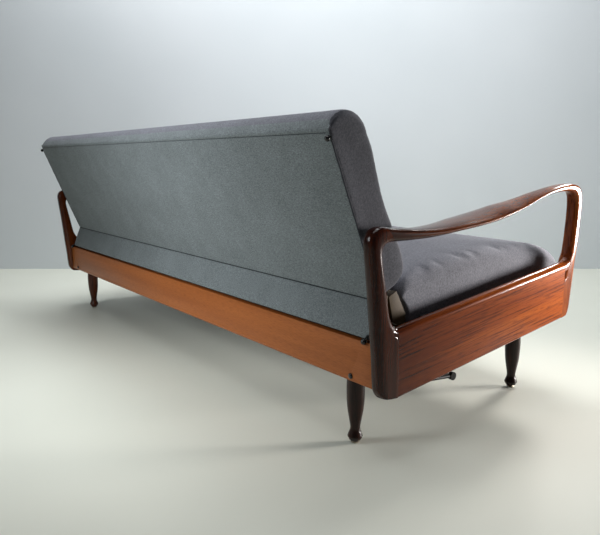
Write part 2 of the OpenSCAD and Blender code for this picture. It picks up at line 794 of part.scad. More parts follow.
seat_end_rails();
seat_cross_rail(seat_front_y);  // seat_front_rail
seat_cross_rail(seat_rear_y - seat_rail_width);  // seat_rear_rail
hinge_rail();
seat_webbing();
seat_side_runners();
seat_border();
seat_cushion();
rear_roller_axles();
roller(-1, rear_roller_y, rear_roller_z, rear_roller_r);  // left_rear_roller
roller(1, rear_roller_y, rear_roller_z, rear_roller_r);  // right_rear_roller
hinge_pins();
back_uprights();
back_cross_rail(back_face - back_rail_height);  // back_top_rail
back_cross_rail(0);  // back_bottom_rail
back_tail_board();
back_webbing();
back_cushion();
back_rear_cover();
back_end_pads();
back_tail_cover();
hinge_arm(-1);  // left_hinge_arm
hinge_arm(1);  // right_hinge_arm
lower_studs();
upper_studs();
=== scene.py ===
"""The looks of a sofa bed with shaped show-wood arms, turned legs and grey woven upholstery."""
import json
import math

import bmesh
import bpy
import numpy as np
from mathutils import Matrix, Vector, noise
from mathutils.bvhtree import BVHTree


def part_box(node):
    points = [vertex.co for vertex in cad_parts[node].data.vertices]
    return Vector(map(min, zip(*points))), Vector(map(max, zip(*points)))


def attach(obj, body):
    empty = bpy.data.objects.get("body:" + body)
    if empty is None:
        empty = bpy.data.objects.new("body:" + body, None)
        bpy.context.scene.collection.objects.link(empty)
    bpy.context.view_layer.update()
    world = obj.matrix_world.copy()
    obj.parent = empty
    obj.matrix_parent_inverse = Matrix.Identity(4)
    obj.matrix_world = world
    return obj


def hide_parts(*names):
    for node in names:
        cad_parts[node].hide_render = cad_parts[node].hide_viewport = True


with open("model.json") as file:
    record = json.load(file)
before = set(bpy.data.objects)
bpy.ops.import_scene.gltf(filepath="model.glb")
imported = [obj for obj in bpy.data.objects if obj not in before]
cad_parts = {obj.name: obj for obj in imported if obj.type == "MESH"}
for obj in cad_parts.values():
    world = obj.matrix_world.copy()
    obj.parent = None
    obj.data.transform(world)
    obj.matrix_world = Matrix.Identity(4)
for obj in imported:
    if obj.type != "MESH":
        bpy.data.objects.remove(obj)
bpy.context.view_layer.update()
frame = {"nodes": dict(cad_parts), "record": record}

MM = 0.001
LEFT = -1
RIGHT = 1
SIDE_NAMES = {LEFT: "left", RIGHT: "right"}

# Sizes taken from the frame, in millimetres
HALF_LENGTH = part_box("right_rear_post")[1].x / MM
ARM_THICK = HALF_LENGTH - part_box("right_rear_post")[0].x / MM
SOFT_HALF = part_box("back_rear_cover")[1].x / MM
RAIL_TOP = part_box("rear_rail")[1].z / MM
RAIL_INNER_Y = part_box("rear_rail")[0].y / MM
RAIL_FACE_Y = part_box("rear_rail")[1].y / MM

# The leaning frame of the back: its fold line low on the rear face, its lean from upright, and the height
# of its rear face above the fold
FOLD_Y = 288.5
FOLD_Z = 362
LEAN = math.radians(22.1)
REAR_FACE = 384

# The material slot of each node, and the body that carries it
SLOTS = {part["node"]: part["material_slot"] for part in frame["record"]["subparts"]}
CARRIERS = {node: body for body, nodes in frame["record"]["behaviour"]["bodies"].items() for node in nodes}


# Shapes

def smooth_line(rows, steps):
    """Rows along a smooth curve through the given rows, with some steps between each two."""
    rows = np.array(rows, float)
    padded = np.vstack([rows[:1], rows, rows[-1:]])
    line = []
    for i in range(len(rows) - 1):
        a, b, c, d = padded[i:i + 4]
        for t in np.arange(steps) / steps:
            line.append(b + t * (c - a) / 2 + t ** 2 * (2 * a - 5 * b + 4 * c - d) / 2
                        + t ** 3 * (3 * b - a - 3 * c + d) / 2)
    line.append(rows[-1])
    return np.array(line)


def faired(rows, spread):
    """The same rows with small bumps evened out over a distance, and both ends kept."""
    middle = (rows[:, 0:2] + rows[:, 2:4]) / 2
    along = np.concatenate([[0], np.cumsum(np.linalg.norm(np.diff(middle, axis=0), axis=1))])
    step = np.gradient(along)
    weight = np.exp(-((along[:, None] - along[None, :]) / spread) ** 2 / 2) * step[None, :]
    even = weight @ rows / weight.sum(axis=1, keepdims=True)
    from_end = np.minimum(along, along[-1] - along)
    keep = np.clip(from_end / (3 * spread), 0, 1)[:, None]
    return rows * (1 - keep) + even * keep


def skin(rings):
    """Points and faces of a closed skin over rings that have the same number of points."""
    rings = [np.array(ring, float) for ring in rings]
    count = len(rings[0])
    faces = []
    for i in range(len(rings) - 1):
        for j in range(count):
            k = (j + 1) % count
            faces.append((i * count + j, (i + 1) * count + j, (i + 1) * count + k, i * count + k))
    last = (len(rings) - 1) * count
    faces.append(tuple(range(count)))
    faces.append(tuple(last + j for j in reversed(range(count))))
    return np.vstack(rings), faces


def turned(profile, sides, at):
    """Points and faces of a turned piece: its profile is (radius, height) from the foot up."""
    turn = np.arange(sides) * 2 * math.pi / sides
    rings = [np.column_stack([at[0] + r * np.cos(turn), at[1] + r * np.sin(turn), np.full(sides, z)])
             for r, z in profile]
    return skin(rings)


# A direction that no welt or dark shade cord follows, to start the turn of its sections from
ROD_REFERENCE = np.array([0.05, 0.93, -0.37])


def directions(path):
    """The unit direction of a path at each of its points."""
    ahead = np.gradient(path, axis=0)
    return ahead / np.linalg.norm(ahead, axis=1)[:, None]


def rod_along(path, radius, sides):
    """Points and faces of a round cord that follows a path of points."""
    path = np.array(path, float)
    ahead = directions(path)
    side = np.cross(ahead, ROD_REFERENCE)
    side /= np.linalg.norm(side, axis=1)[:, None]
    up = np.cross(side, ahead)
    rings = []
    for centre, a, b in zip(path, side, up):
        turn = np.arange(sides) * 2 * math.pi / sides
        rings.append(centre + radius * (np.outer(np.cos(turn), a) + np.outer(np.sin(turn), b)))
    return skin(rings)


def join_shapes(*shapes):
    """Several shapes as one."""
    points = []
    faces = []
    start = 0
    for shape_points, shape_faces in shapes:
        points.append(shape_points)
        faces.extend(tuple(i + start for i in face) for face in shape_faces)
        start += len(shape_points)
    return np.vstack(points), faces


def on_side(shape, side):
    """A shape drawn for the left end, or its mirror image for the right end."""
    points, faces = shape
    if side == LEFT:
        return points, faces
    return points * [-1, 1, 1], [tuple(reversed(face)) for face in faces]


def in_back(ahead, up):
    """Depth and height of a point of the back,
    given its distance ahead of the rear face and up from the fold."""
    return (FOLD_Y + up * math.sin(LEAN) - ahead * math.cos(LEAN),
            FOLD_Z + up * math.cos(LEAN) + ahead * math.sin(LEAN))


def new_piece(name, shape, finishes, sharp=40):
    """A mesh piece from a shape in millimetres: smooth, but with edges past so many degrees kept sharp."""
    points, faces = shape
    mesh = bpy.data.meshes.new(name)
    mesh.from_pydata((np.array(points) * MM).tolist(), [], faces)
    outward = bmesh.new()
    outward.from_mesh(mesh)
    bmesh.ops.recalc_face_normals(outward, faces=outward.faces)
    outward.to_mesh(mesh)
    outward.free()
    for finish in finishes:
        mesh.materials.append(finish)
    mesh.shade_smooth()
    mesh.set_sharp_from_angle(angle=math.radians(sharp))
    piece = bpy.data.objects.new(name, mesh)
    bpy.context.scene.collection.objects.link(piece)
    return piece


def apply_modifiers(piece):
    """Keeps what the piece's modifiers make as its own mesh."""
    bpy.context.view_layer.update()
    made = bpy.data.meshes.new_from_object(piece.evaluated_get(bpy.context.evaluated_depsgraph_get()))
    piece.modifiers.clear()
    piece.data = made
    return piece


def flat_faces_flat(piece):
    """Weights the shading by face area, so that large flat faces stay flat beside small rounded ones."""
    weighted = piece.modifiers.new("weighted", "WEIGHTED_NORMAL")
    weighted.keep_sharp = True
    return apply_modifiers(piece)


def settle(piece, body, slot, *replaced):
    """The piece rides on its body and stands for the nodes that it replaces, which are hidden. The slot is
    not used.
    """
    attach(piece, body)
    if replaced:
        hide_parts(*replaced)
    return piece


# Finishes

def linear(hex_colour):
    """An sRGB hex colour as linear red, green, blue and alpha."""
    values = [int(hex_colour[i:i + 2], 16) / 255 for i in (1, 3, 5)]
    return [v / 12.92 if v <= 0.04045 else ((v + 0.055) / 1.055) ** 2.4 for v in values] + [1.0]


def add(tree, kind, settings, links=()):
    """Adds a node, sets its properties or inputs and links its inputs from other sockets."""
    node = tree.nodes.new(kind)
    for name, value in settings.items():
        if isinstance(name, str) and hasattr(node, name):
            setattr(node, name, value)
        else:
            node.inputs[name].default_value = value
    for name, socket in dict(links).items():
        tree.links.new(socket, node.inputs[name])
    return node


def new_finish(name, settings):
    """A material with one Principled shader: the material, its tree, its shader and object coordinates."""
    finish = bpy.data.materials.new(name)
    finish.use_nodes = True
    tree = finish.node_tree
    tree.nodes.clear()
    shader = add(tree, "ShaderNodeBsdfPrincipled", settings)
    add(tree, "ShaderNodeOutputMaterial", {}, {"Surface": shader.outputs[0]})
    place = add(tree, "ShaderNodeTexCoord", {}).outputs["Object"]
    return finish, tree, shader, place


def stretched_noise(tree, place, lengths, turn=(0, 0, 0), detail=3, rough=0.55):
    """Noise whose features have the given lengths along the three axes, in millimetres, after a turn."""
    turned_place = add(tree, "ShaderNodeMapping", {"vector_type": "POINT", "Rotation": turn},
                       {"Vector": place})
    scaled = add(tree, "ShaderNodeMapping", {"Scale": [1 / (size * MM) for size in lengths]},
                 {"Vector": turned_place.outputs[0]})
    made = add(tree, "ShaderNodeTexNoise", {"Scale": 1.0, "Detail": detail, "Roughness": rough},
               {"Vector": scaled.outputs[0]})
    return made.outputs["Fac"]


def ramp(tree, source, stops):
    """A colour ramp through hex colours at the given places."""
    node = add(tree, "ShaderNodeValToRGB", {}, {"Fac": source})
    while len(node.color_ramp.elements) < len(stops):
        node.color_ramp.elements.new(0.5)
    for element, (at, colour) in zip(node.color_ramp.elements, stops):
        element.position = at
        element.color = linear(colour)
    return node.outputs["Color"]


def mixed(tree, kind, share, first, second):
    """Mixes two colour sockets, or a socket and a plain colour."""
    node = add(tree, "ShaderNodeMix", {"data_type": "RGBA", "blend_type": kind})
    for index, value in ((0, share), (6, first), (7, second)):
        if isinstance(value, bpy.types.NodeSocket):
            tree.links.new(value, node.inputs[index])
        else:
            node.inputs[index].default_value = value
    return node.outputs[2]


def bumped(tree, shader, height, depth):
    """Gives the shader a relief of some depth in millimetres from a height from 0 to 1."""
    node = add(tree, "ShaderNodeBump", {"Strength": 1.0, "Distance": depth * MM}, {"Height": height})
    tree.links.new(node.outputs[0], shader.inputs["Normal"])


def grain_turn(direction):
    """Turn that lays the grain's own Z axis along a direction of the piece."""
    return Vector(direction).rotation_difference(Vector((0, 0, 1))).to_euler()


def oiled_teak(name, direction, dark, middle, light, rear_shade, roughness=0.17):
    """Teak, shaped, oiled and polished: fine dark streaks along the piece, open pores and a clear gloss.
    Its tone is multiplied darker toward the rear of the sofa: painted shade, where the lamps light it less.
    The pores are about 0.3 mm wide and are drawn five times as coarse, so that they show."""
    finish, tree, shader, place = new_finish(name, {
        "Roughness": roughness, "IOR": 1.5, "Specular IOR Level": 0.22, "Coat Weight": 0.12,
        "Coat Roughness": 0.04})
    turn = grain_turn(direction)
    bands = stretched_noise(tree, place, (30, 30, 600), turn, 3, 0.5)
    streaks = stretched_noise(tree, place, (4.5, 4.5, 150), turn, 4, 0.6)
    pores = stretched_noise(tree, place, (1.6, 1.6, 30), turn, 2, 0.5)
    broad = ramp(tree, bands, [(0.3, dark), (0.5, middle), (0.7, light)])
    fine = ramp(tree, streaks, [(0.36, "#7a6258"), (0.5, "#ffffff"), (0.7, "#fff0e4")])
    tone = mixed(tree, "MULTIPLY", 0.75, broad, fine)
    open_pores = ramp(tree, pores, [(0.32, "#7c6a62"), (0.46, "#ffffff")])
    tone = mixed(tree, "MULTIPLY", 0.55, tone, open_pores)
    # Painted shade: the tone darkens toward the rear of the sofa
    depth = add(tree, "ShaderNodeSeparateXYZ", {}, {0: place}).outputs["Y"]
    rearward = add(tree, "ShaderNodeMapRange", {"From Min": FRONT_END * MM, "From Max": REAR_END * MM},
                   {"Value": depth})
    painted_rear_shade = ramp(tree, rearward.outputs[0], [(0, "#ffffff"), (1, rear_shade)])
    tone = mixed(tree, "MULTIPLY", 1.0, tone, painted_rear_shade)
    tree.links.new(tone, shader.inputs["Base Color"])
    bumped(tree, shader, pores, 0.02)
    return finish


def beech_stain_and_shade(name, direction, dark, light, roughness=0.42):
    """Beech, planed: an even tone with short fine flecks and a satin face. Its tones are a stain on the
    rails, and painted shade on the raw boards inside the frame.
    """
    finish, tree, shader, place = new_finish(name, {
        "Roughness": roughness, "IOR": 1.5, "Specular IOR Level": 0.3})
    turn = grain_turn(direction)
    bands = stretched_noise(tree, place, (26, 26, 600), turn, 3, 0.5)
    flecks = stretched_noise(tree, place, (1.4, 1.4, 22), turn, 2, 0.5)
    tone = ramp(tree, bands, [(0.3, dark), (0.7, light)])
    fleck_tone = ramp(tree, flecks, [(0.3, "#b9a89c"), (0.55, "#ffffff")])
    tone = mixed(tree, "MULTIPLY", 0.6, tone, fleck_tone)
    tree.links.new(tone, shader.inputs["Base Color"])
    bumped(tree, shader, flecks, 0.03)
    return finish


def woven_wool(name, dark, middle, light, lean=0.0):
    """Wool upholstery cloth, plain weave of close greys: flecked threads and a soft bloom at low angles.
    The threads are 0.8 mm apart and are drawn somewhat coarser, so that they show."""
    finish, tree, shader, place = new_finish(name, {
        "Roughness": 0.9, "IOR": 1.45, "Specular IOR Level": 0.2,
        "Sheen Weight": 0.16, "Sheen Roughness": 0.5, "Sheen Tint": linear("#c8cbd2")})
    turn = (lean, 0, 0)
    weft = stretched_noise(tree, place, (6, 3, 1.1), turn, 1, 0.5)
    warp = stretched_noise(tree, place, (1.1, 3, 5), turn, 1, 0.5)
    cloud = stretched_noise(tree, place, (90, 90, 90), turn, 3, 0.6)
    crossed = add(tree, "ShaderNodeMath", {"operation": "ADD"}, {0: weft, 1: warp})
    half = add(tree, "ShaderNodeMath", {"operation": "MULTIPLY", 1: 0.5}, {0: crossed.outputs[0]})
    threads = ramp(tree, half.outputs[0], [(0.36, dark), (0.5, middle), (0.64, light)])
    shade = ramp(tree, cloud, [(0.3, "#ececec"), (0.7, "#ffffff")])
    tone = mixed(tree, "MULTIPLY", 1.0, threads, shade)
    tree.links.new(tone, shader.inputs["Base Color"])
    bumped(tree, shader, half.outputs[0], 0.12)
    return finish


def strap_webbing():
    """Jute and rubber webbing, woven flat: coarse ribs along the strap."""
    finish, tree, shader, place = new_finish("rubber_webbing", {"Roughness": 0.85})
    ribs = stretched_noise(tree, place, (3, 40, 40), detail=2)
    tree.links.new(ramp(tree, ribs, [(0.35, "#1d1a18"), (0.65, "#3a332d")]), shader.inputs["Base Color"])
    bumped(tree, shader, ribs, 0.3)
    return finish


def black_lacquered_steel(name, roughness, coat, gloss):
    """Steel under thick black lacquer: near black, with one clear highlight and faint specks."""
    finish, tree, shader, place = new_finish(name, {
        "Roughness": roughness, "Specular IOR Level": gloss, "Coat Weight": coat, "Coat Roughness": 0.05})
    specks = stretched_noise(tree, place, (2, 2, 2), detail=3)
    tree.links.new(ramp(tree, specks, [(0.3, "#060606"), (0.7, "#141415")]), shader.inputs["Base Color"])
    bumped(tree, shader, specks, 0.04)
    return finish


def zinc_plated_steel(name, dark, light, roughness):
    """Pressed steel with a zinc plate: grey metal with a faint crystal mottle."""
    finish, tree, shader, place = new_finish(name, {"Metallic": 1.0, "Roughness": roughness})
    mottle = stretched_noise(tree, place, (6, 6, 6), detail=4)
    tree.links.new(ramp(tree, mottle, [(0.3, dark), (0.7, light)]), shader.inputs["Base Color"])
    bumped(tree, shader, mottle, 0.02)
    return finish


def moulded_nylon():
    """Nylon, moulded: ivory with a waxy face."""
    finish, tree, shader, place = new_finish("moulded_nylon", {
        "Roughness": 0.38, "IOR": 1.53, "Subsurface Weight": 0.1})
    cloud = stretched_noise(tree, place, (8, 8, 8))
    tree.links.new(ramp(tree, cloud, [(0.3, "#c9c1a8"), (0.7, "#d8d1bb")]), shader.inputs["Base Color"])
    bumped(tree, shader, cloud, 0.02)
    return finish


# Where the teak's painted shade starts and where it is deepest, in depth
FRONT_END = -400
REAR_END = 340

# Directions of the grain
RIM_RUN = Vector((0, -642, 82)).normalized()
UPRIGHT = (0, 0, 1)
ALONG = (1, 0, 0)
DEEP = (0, 1, 0)

# Dark, middle and light tone of the grain, and the painted shade that multiplies them at the rear
POST_TONES = ("#6a2f10", "#8c4618", "#a65c24")
ARM_TONES = ("#682e10", "#894416", "#a35822")
PANEL_TONES = ("#84390c", "#9c4a12", "#ae5818")
NO_SHADE = "#ffffff"
# The left posts and arms, at the near end, take a deeper rear shade than the right ones: painted shade on
# the end that the lamps light less
POST_TEAK = {
    LEFT: oiled_teak("oiled_teak_left_post", UPRIGHT, *POST_TONES, "#59453a"),
    RIGHT: oiled_teak("oiled_teak_right_post", UPRIGHT, *POST_TONES, "#a99e98")}
ARM_TEAK = {
    LEFT: oiled_teak("oiled_teak_left_arm", DEEP, *ARM_TONES, "#3e332c"),
    RIGHT: oiled_teak("oiled_teak_right_arm", DEEP, *ARM_TONES, "#a99e98")}
PANEL_TEAK = oiled_teak("oiled_teak_panel", RIM_RUN, *PANEL_TONES, "#58453c")
# The left legs, at the near end, are a darker copy of the right ones: painted shade on the legs that face
# away from the lamps
LEG_TEAK = {
    LEFT: oiled_teak("oiled_teak_left_leg", UPRIGHT, "#180c07", "#26120b", "#351a10", NO_SHADE, 0.3),
    RIGHT: oiled_teak("oiled_teak_right_leg", UPRIGHT, "#3a1a0e", "#542814", "#6c361c", NO_SHADE, 0.3)}
RAIL_BEECH = beech_stain_and_shade("stained_beech_rail", ALONG, "#9b5625", "#b06630")
# The raw inner beech is darkened far below the wood's own pale tone: painted shade inside the frame
SHADED_RAW_BEECH = beech_stain_and_shade("raw_beech_painted_shade", ALONG, "#403421", "#50422b", 0.7)
SHADED_RAW_BEECH_UPRIGHT = beech_stain_and_shade("raw_beech_upright_painted_shade", UPRIGHT, "#403421", "#50422b", 0.7)
# The rear and front cloths are tints of one cloth: greener on the rear as painted cool room light, more
# violet on the front as painted window light
WOOL_REAR_COOL_LIT = woven_wool("wool_cloth_rear_painted_cool_light", "#606668", "#757c7e", "#8a9193", -LEAN)
WOOL_FRONT_WINDOW_LIT = woven_wool("wool_cloth_front_painted_window_light", "#62636a", "#74757d", "#87888f")
# The end cloth is a darker copy of the same cloth: painted shade on the back's ends
WOOL_END_SHADED = woven_wool("wool_cloth_end_painted_shade", "#37383d", "#424349", "#4e4f55", -LEAN)
# The seat cloth is a darker copy of the front cloth: painted shade that holds down the strongly lit seat
WOOL_SEAT_SHADED = woven_wool("wool_cloth_seat_painted_shade", "#54555b", "#64656c", "#75767d")
# The dark tape cloth is painted shade: it darkens the seam grooves and the gap behind the rear rail
WOOL_SHADE_TAPE = woven_wool("wool_painted_shade_tape", "#1d2122", "#2b3031", "#3a4041", -LEAN)
WEBBING = strap_webbing()
LACQUER = black_lacquered_steel("black_lacquered_steel", 0.16, 0.3, 0.4)
DULL_LACQUER = black_lacquered_steel("dull_black_lacquered_steel", 0.4, 0.0, 0.12)
ZINC = zinc_plated_steel("zinc_plated_steel", "#8b8c8e", "#a9aaac", 0.35)
NICKEL = zinc_plated_steel("nickel_plated_glide", "#8f8574", "#b5aa96", 0.28)
NYLON = moulded_nylon()

SLOT_FINISHES = {
    "show_wood": POST_TEAK[LEFT], "leg_wood": LEG_TEAK[LEFT], "rail_wood": RAIL_BEECH,
    "frame_wood": SHADED_RAW_BEECH, "rear_fabric": WOOL_REAR_COOL_LIT, "seat_fabric": WOOL_FRONT_WINDOW_LIT, "webbing": WEBBING,
    "roller_nylon": NYLON, "black_steel": LACQUER, "glide_metal": NICKEL, "steel": ZINC}
NODE_FINISHES = {
    "back_uprights": SHADED_RAW_BEECH_UPRIGHT, "left_under_bar": DULL_LACQUER, "right_under_bar": DULL_LACQUER}


def dress_nodes():
    """Every node of the frame gets its own finish or the one of its slot."""
    for name, node in frame["nodes"].items():
        node.data.materials.clear()
        node.data.materials.append(NODE_FINISHES.get(name, SLOT_FINISHES[SLOTS[name]]))


# Arms

# Each row is a point of the outer edge (depth, height), the point across from it in the opening, and the
# share of the paddle's extra width. It runs from the foot of the rear post to the foot of the front post.
ARM_LOOP = [
    [322, 161.5, 282.5, 157.5, 0], [334, 177, 282.5, 171, 0], [338, 200, 282.5, 200, 0],
    [342, 250, 282.5, 250, 0], [347.5, 300, 282.5, 298, 0], [348.5, 316, 287, 311, 0],
    [349.5, 326, 297, 321, 0], [350.8, 340, 304.5, 335, 0], [352, 354, 309.5, 351, 0],
    [356.6, 404, 320, 404, 0], [362, 450, 328, 442, 0], [366, 485, 333, 470, 0],
    [367, 508, 331, 486, 0], [358.5, 524.5, 324, 494, 0], [344, 531.5, 313, 498, 0],
    [325, 531.5, 299.5, 498.5, 0],
    [298, 527.5, 280, 498, 0.02], [262, 525, 252, 497.5, 0.06], [230, 523.4, 223, 497.5, 0.15],
    [186, 524.5, 190, 497, 0.34], [131, 528.5, 141, 499, 0.58], [73, 535.5, 79, 504.5, 0.8],
    [12, 542.5, 22, 509.5, 0.95], [-47, 551, -33, 516, 1], [-100, 560.5, -93, 527, 0.93],
    [-162, 569, -154, 546, 0.7], [-227, 584, -218, 567, 0.38], [-285, 596, -275, 579, 0.14],
    [-334, 602.5, -322, 583, 0.03], [-369, 603.5, -352, 583.5, 0],
    [-399, 598.5, -374, 580, 0], [-416, 584, -384.5, 570, 0], [-421, 563, -388.5, 552, 0],
    [-420, 531, -389.5, 524, 0], [-417, 482, -386, 474, 0], [-412, 432, -380, 425, 0],
    [-409.5, 412, -375, 409, 0], [-408, 398, -366, 396, 0], [-404, 350, -349.5, 350, 0],
    [-397, 296, -349.5, 296, 0], [-391.5, 262, -349.5, 253, 0], [-380, 244.5, -349.5, 239, 0]]
# Rows at which the armrest is jointed to the posts, and rows from which the opening meets the panel's rim
REAR_POST_LAST = 15
FRONT_POST_FIRST = 29
REAR_RIM_ROW = 3
FRONT_RIM_ROW = 39
ARM_STEPS = 8
ARM_SIDES = 48
# Width of the armrest where it is widest, how far its outer edge tips down there, and its lower edge rises
PADDLE_WIDTH = 80
PADDLE_TILT = 14
PADDLE_RISE = 4.2
# Powers of the sections: 2 is round, and a high one is square
ROUND_CORNER = 2.9
PADDLE_CORNER = 2.2
SQUARE_CORNER = 30
# Distance over which small bumps of the loop are evened out, and the easing of the posts' feet
ARM_FAIRING = 5
POST_EASE = 2.5


def bulge(value, square):
    """One side of a superellipse."""
    return math.copysign(abs(value) ** (2 / square), value)


def arm_section(row, inner_square):
    """A ring of the left arm: rounded, and squarer toward the opening where the panel meets it."""
    outer = np.array(row[0:2])
    inner = np.array(row[2:4])
    share = max(0.0, row[4])
    wide = ARM_THICK + share * (PADDLE_WIDTH - ARM_THICK)
    ring = []
    for k in range(ARM_SIDES):
        turn = 2 * math.pi * (k + 0.5) / ARM_SIDES
        rounded = ROUND_CORNER + (PADDLE_CORNER - ROUND_CORNER) * min(1.0, 2 * share)
        square = rounded if math.cos(turn) > 0 or share > 0 else inner_square
        across = bulge(math.sin(turn), square)
        edge = bulge(math.cos(turn), square)
        inward = (across + 1) / 2
        top = outer - [0, PADDLE_TILT * share * (1 - inward)]
        low = inner + [0, PADDLE_RISE * share * inward]
        middle = (top + low) / 2 + (top - low) / 2 * edge
        ring.append([-HALF_LENGTH + wide / 2 + wide / 2 * across, middle[0], middle[1]])
    return np.array(ring)


def eased_end(ring, next_ring, ease):
    """Two rings that round over the end of a piece, outermost first."""
    middle = ring.mean(axis=0)
    back = next_ring.mean(axis=0) - middle
    back /= np.linalg.norm(back)
    reach = np.linalg.norm(ring - middle, axis=1).max()
    return [middle + (ring - middle) * (1 - ease / reach), ring + back * ease]


def arms():
    """Rear post, armrest and front post of each arm, flush where they are jointed."""
    rows = faired(smooth_line(ARM_LOOP, ARM_STEPS), ARM_FAIRING)
    rings = []
    for i, row in enumerate(rows):
        below = max(REAR_RIM_ROW - i / ARM_STEPS, i / ARM_STEPS - FRONT_RIM_ROW, -1) + 1
        square = ROUND_CORNER + (SQUARE_CORNER - ROUND_CORNER) * min(1, below)
        rings.append(arm_section(row, square))
    rings[0:1] = eased_end(rings[0], rings[1], POST_EASE)
    rings[-1:] = reversed(eased_end(rings[-1], rings[-2], POST_EASE))
    rear_end = REAR_POST_LAST * ARM_STEPS + 1
    front_start = FRONT_POST_FIRST * ARM_STEPS + 1
    for side, side_name in SIDE_NAMES.items():
        for part, first, last, teak in (
                ("rear_post", 0, rear_end, POST_TEAK),
                ("armrest", rear_end, front_start, ARM_TEAK),
                ("front_post", front_start, len(rings) - 1, POST_TEAK)):
            shape = on_side(skin(rings[first:last + 1]), side)
            piece = new_piece(f"{side_name}_{part}_shaped", shape, [teak[side]], 50)
            settle(flat_faces_flat(piece), "frame", "show_wood", f"{side_name}_{part}")


# Side panels

# Depth and height of the board's lower corners, and the rise from there to the crest of its rim
PANEL_REAR = (285, 157.6)
PANEL_FRONT = (-352, 239)
RIM_RISE = 154
PANEL_OUTER = HALF_LENGTH - 0.15
PANEL_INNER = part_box("right_side_panel")[0].x / MM
PANEL_MIDDLE = (PANEL_OUTER + PANEL_INNER) / 2
RIM_R = (PANEL_OUTER - PANEL_INNER) / 2
LOWER_EASE = 4.5
# The rim's crest runs on round the fillet of each post: depth and height of its points
REAR_RETURN = [
    (266, 313.7), (276, 312.7), (284, 312.6), (291, 315.3), (297.5, 321.3), (302.3, 330), (305.8, 341),
    (308.6, 353), (311.6, 366), (314, 378)]
FRONT_RETURN = [
    (-336, 390.6), (-346, 392.0), (-355, 394.0), (-363, 397.8), (-369, 403.4), (-373, 411), (-375.4, 421),
    (-377.4, 433)]
# How deep the rim's turn reaches into the post, and how far it stays inside the faces around it
RETURN_DEPTH = 24
RETURN_INSET = 0.5
HALF_ROUND = np.radians(np.linspace(0, 180, 25))


def side_board():
    """The left panel's board: a fully rounded rim along its top and eased lower edges."""
    outline = []
    for corner, start in ((PANEL_OUTER - LOWER_EASE, 180), (PANEL_INNER + LOWER_EASE, 270)):
        for turn in np.radians(np.linspace(start, start + 90, 6)):
            outline.append([-corner + LOWER_EASE * math.cos(turn), LOWER_EASE + LOWER_EASE * math.sin(turn)])
    for turn in HALF_ROUND:
        outline.append([-(PANEL_OUTER - RIM_R) + RIM_R * math.cos(turn),
                        RIM_RISE - RIM_R + RIM_R * math.sin(turn)])
    rings = []
    for t in np.linspace(0, 1, 40):
        y = PANEL_REAR[0] + t * (PANEL_FRONT[0] - PANEL_REAR[0])
        z = PANEL_REAR[1] + t * (PANEL_FRONT[1] - PANEL_REAR[1])
        rings.append([[x, y, z + rise] for x, rise in outline])
    return skin(rings)


def rim_return(crest, away):
    """The half-round rim where it runs on from the left board up into a post."""
    path = smooth_line(crest, 4)
    radius = RIM_R - RETURN_INSET
    loops = []
    for (y, z), (ahead_y, ahead_z) in zip(path, directions(path)):
        up = np.array([-ahead_z, ahead_y]) * away
        loop = []
        for turn in HALF_ROUND:
            rise = radius * (math.sin(turn) - 1) - RETURN_INSET
            loop.append([radius * math.cos(turn) - PANEL_MIDDLE, y + up[0] * rise, z + up[1] * rise])
        for edge in (-radius, radius):
            loop.append([edge - PANEL_MIDDLE, y - up[0] * RETURN_DEPTH, z - up[1] * RETURN_DEPTH])
        loops.append(loop)
    return skin(loops)


def side_panels():
    """A thick board under each arm, whose rim turns up into both posts."""
    board = side_board()
    returns = join_shapes(rim_return(REAR_RETURN, 1), rim_return(FRONT_RETURN, -1))
    for side, side_name in SIDE_NAMES.items():
        piece = new_piece(f"{side_name}_side_board", on_side(board, side), [PANEL_TEAK], 50)
        settle(flat_faces_flat(piece), "frame", "show_wood", f"{side_name}_side_panel")
        piece = new_piece(f"{side_name}_rim_returns", on_side(returns, side), [POST_TEAK[side]], 50)
        settle(piece, "frame", "show_wood")


# Rails, bearers and legs

# How far the edges of the rails and of the rough inner boards are eased
RAIL_EASE = 1.6
BEARER_EASE = 1.2


def eased_board(node, finish, ease):
    """A copy of a sawn or planed node with its edges eased, which stands for it."""
    board = bpy.data.objects.new(f"{node}_eased", frame["nodes"][node].data.copy())
    bpy.context.scene.collection.objects.link(board)
    welded = bmesh.new()
    welded.from_mesh(board.data)
    bmesh.ops.remove_doubles(welded, verts=welded.verts, dist=0.01 * MM)
    bmesh.ops.dissolve_limit(welded, angle_limit=math.radians(1), verts=welded.verts, edges=welded.edges)
    welded.to_mesh(board.data)
    welded.free()
    board.data.materials.clear()
    board.data.materials.append(finish)
    edge = board.modifiers.new("eased", "BEVEL")
    edge.width = ease * MM
    edge.segments = 3
    edge.limit_method = "ANGLE"
    edge.angle_limit = math.radians(30)
    apply_modifiers(board)
    board.data.shade_smooth()
    board.data.set_sharp_from_angle(angle=math.radians(35))
    settle(board, CARRIERS[node], SLOTS[node], node)


def boards():
    """The planed rails in stained beech, and the rough bearers and blocks behind them."""
    for node in ("rear_rail", "front_rail"):
        eased_board(node, RAIL_BEECH, RAIL_EASE)
    for node in ("hinge_rail", "rear_bearer", "front_bearer", "cross_bearers", "corner_blocks"):
        eased_board(node, SHADED_RAW_BEECH, BEARER_EASE)


# Radius and height above the floor, from the glide up; the top is as high as each leg
LEG_PROFILE = [
    (10.5, 5), (12.2, 6.6), (15.6, 11), (17.6, 15), (18.2, 17.2), (17.7, 19.4), (15.4, 26), (13.0, 32),
    (12.2, 36.5), (12.3, 42), (13.4, 50), (15.2, 60), (17.0, 70), (18.7, 80), (20.2, 94), (21.3, 112),
    (21.9, 136), (21.3, 160)]
LEG_TOP_R = 20.7
# Radius and height of the glide's dome above the floor
GLIDE_PROFILE = [(3, 0), (7, 0.3), (9.2, 1.2), (10.4, 2.6), (10.2, 4.2), (9.0, 6)]


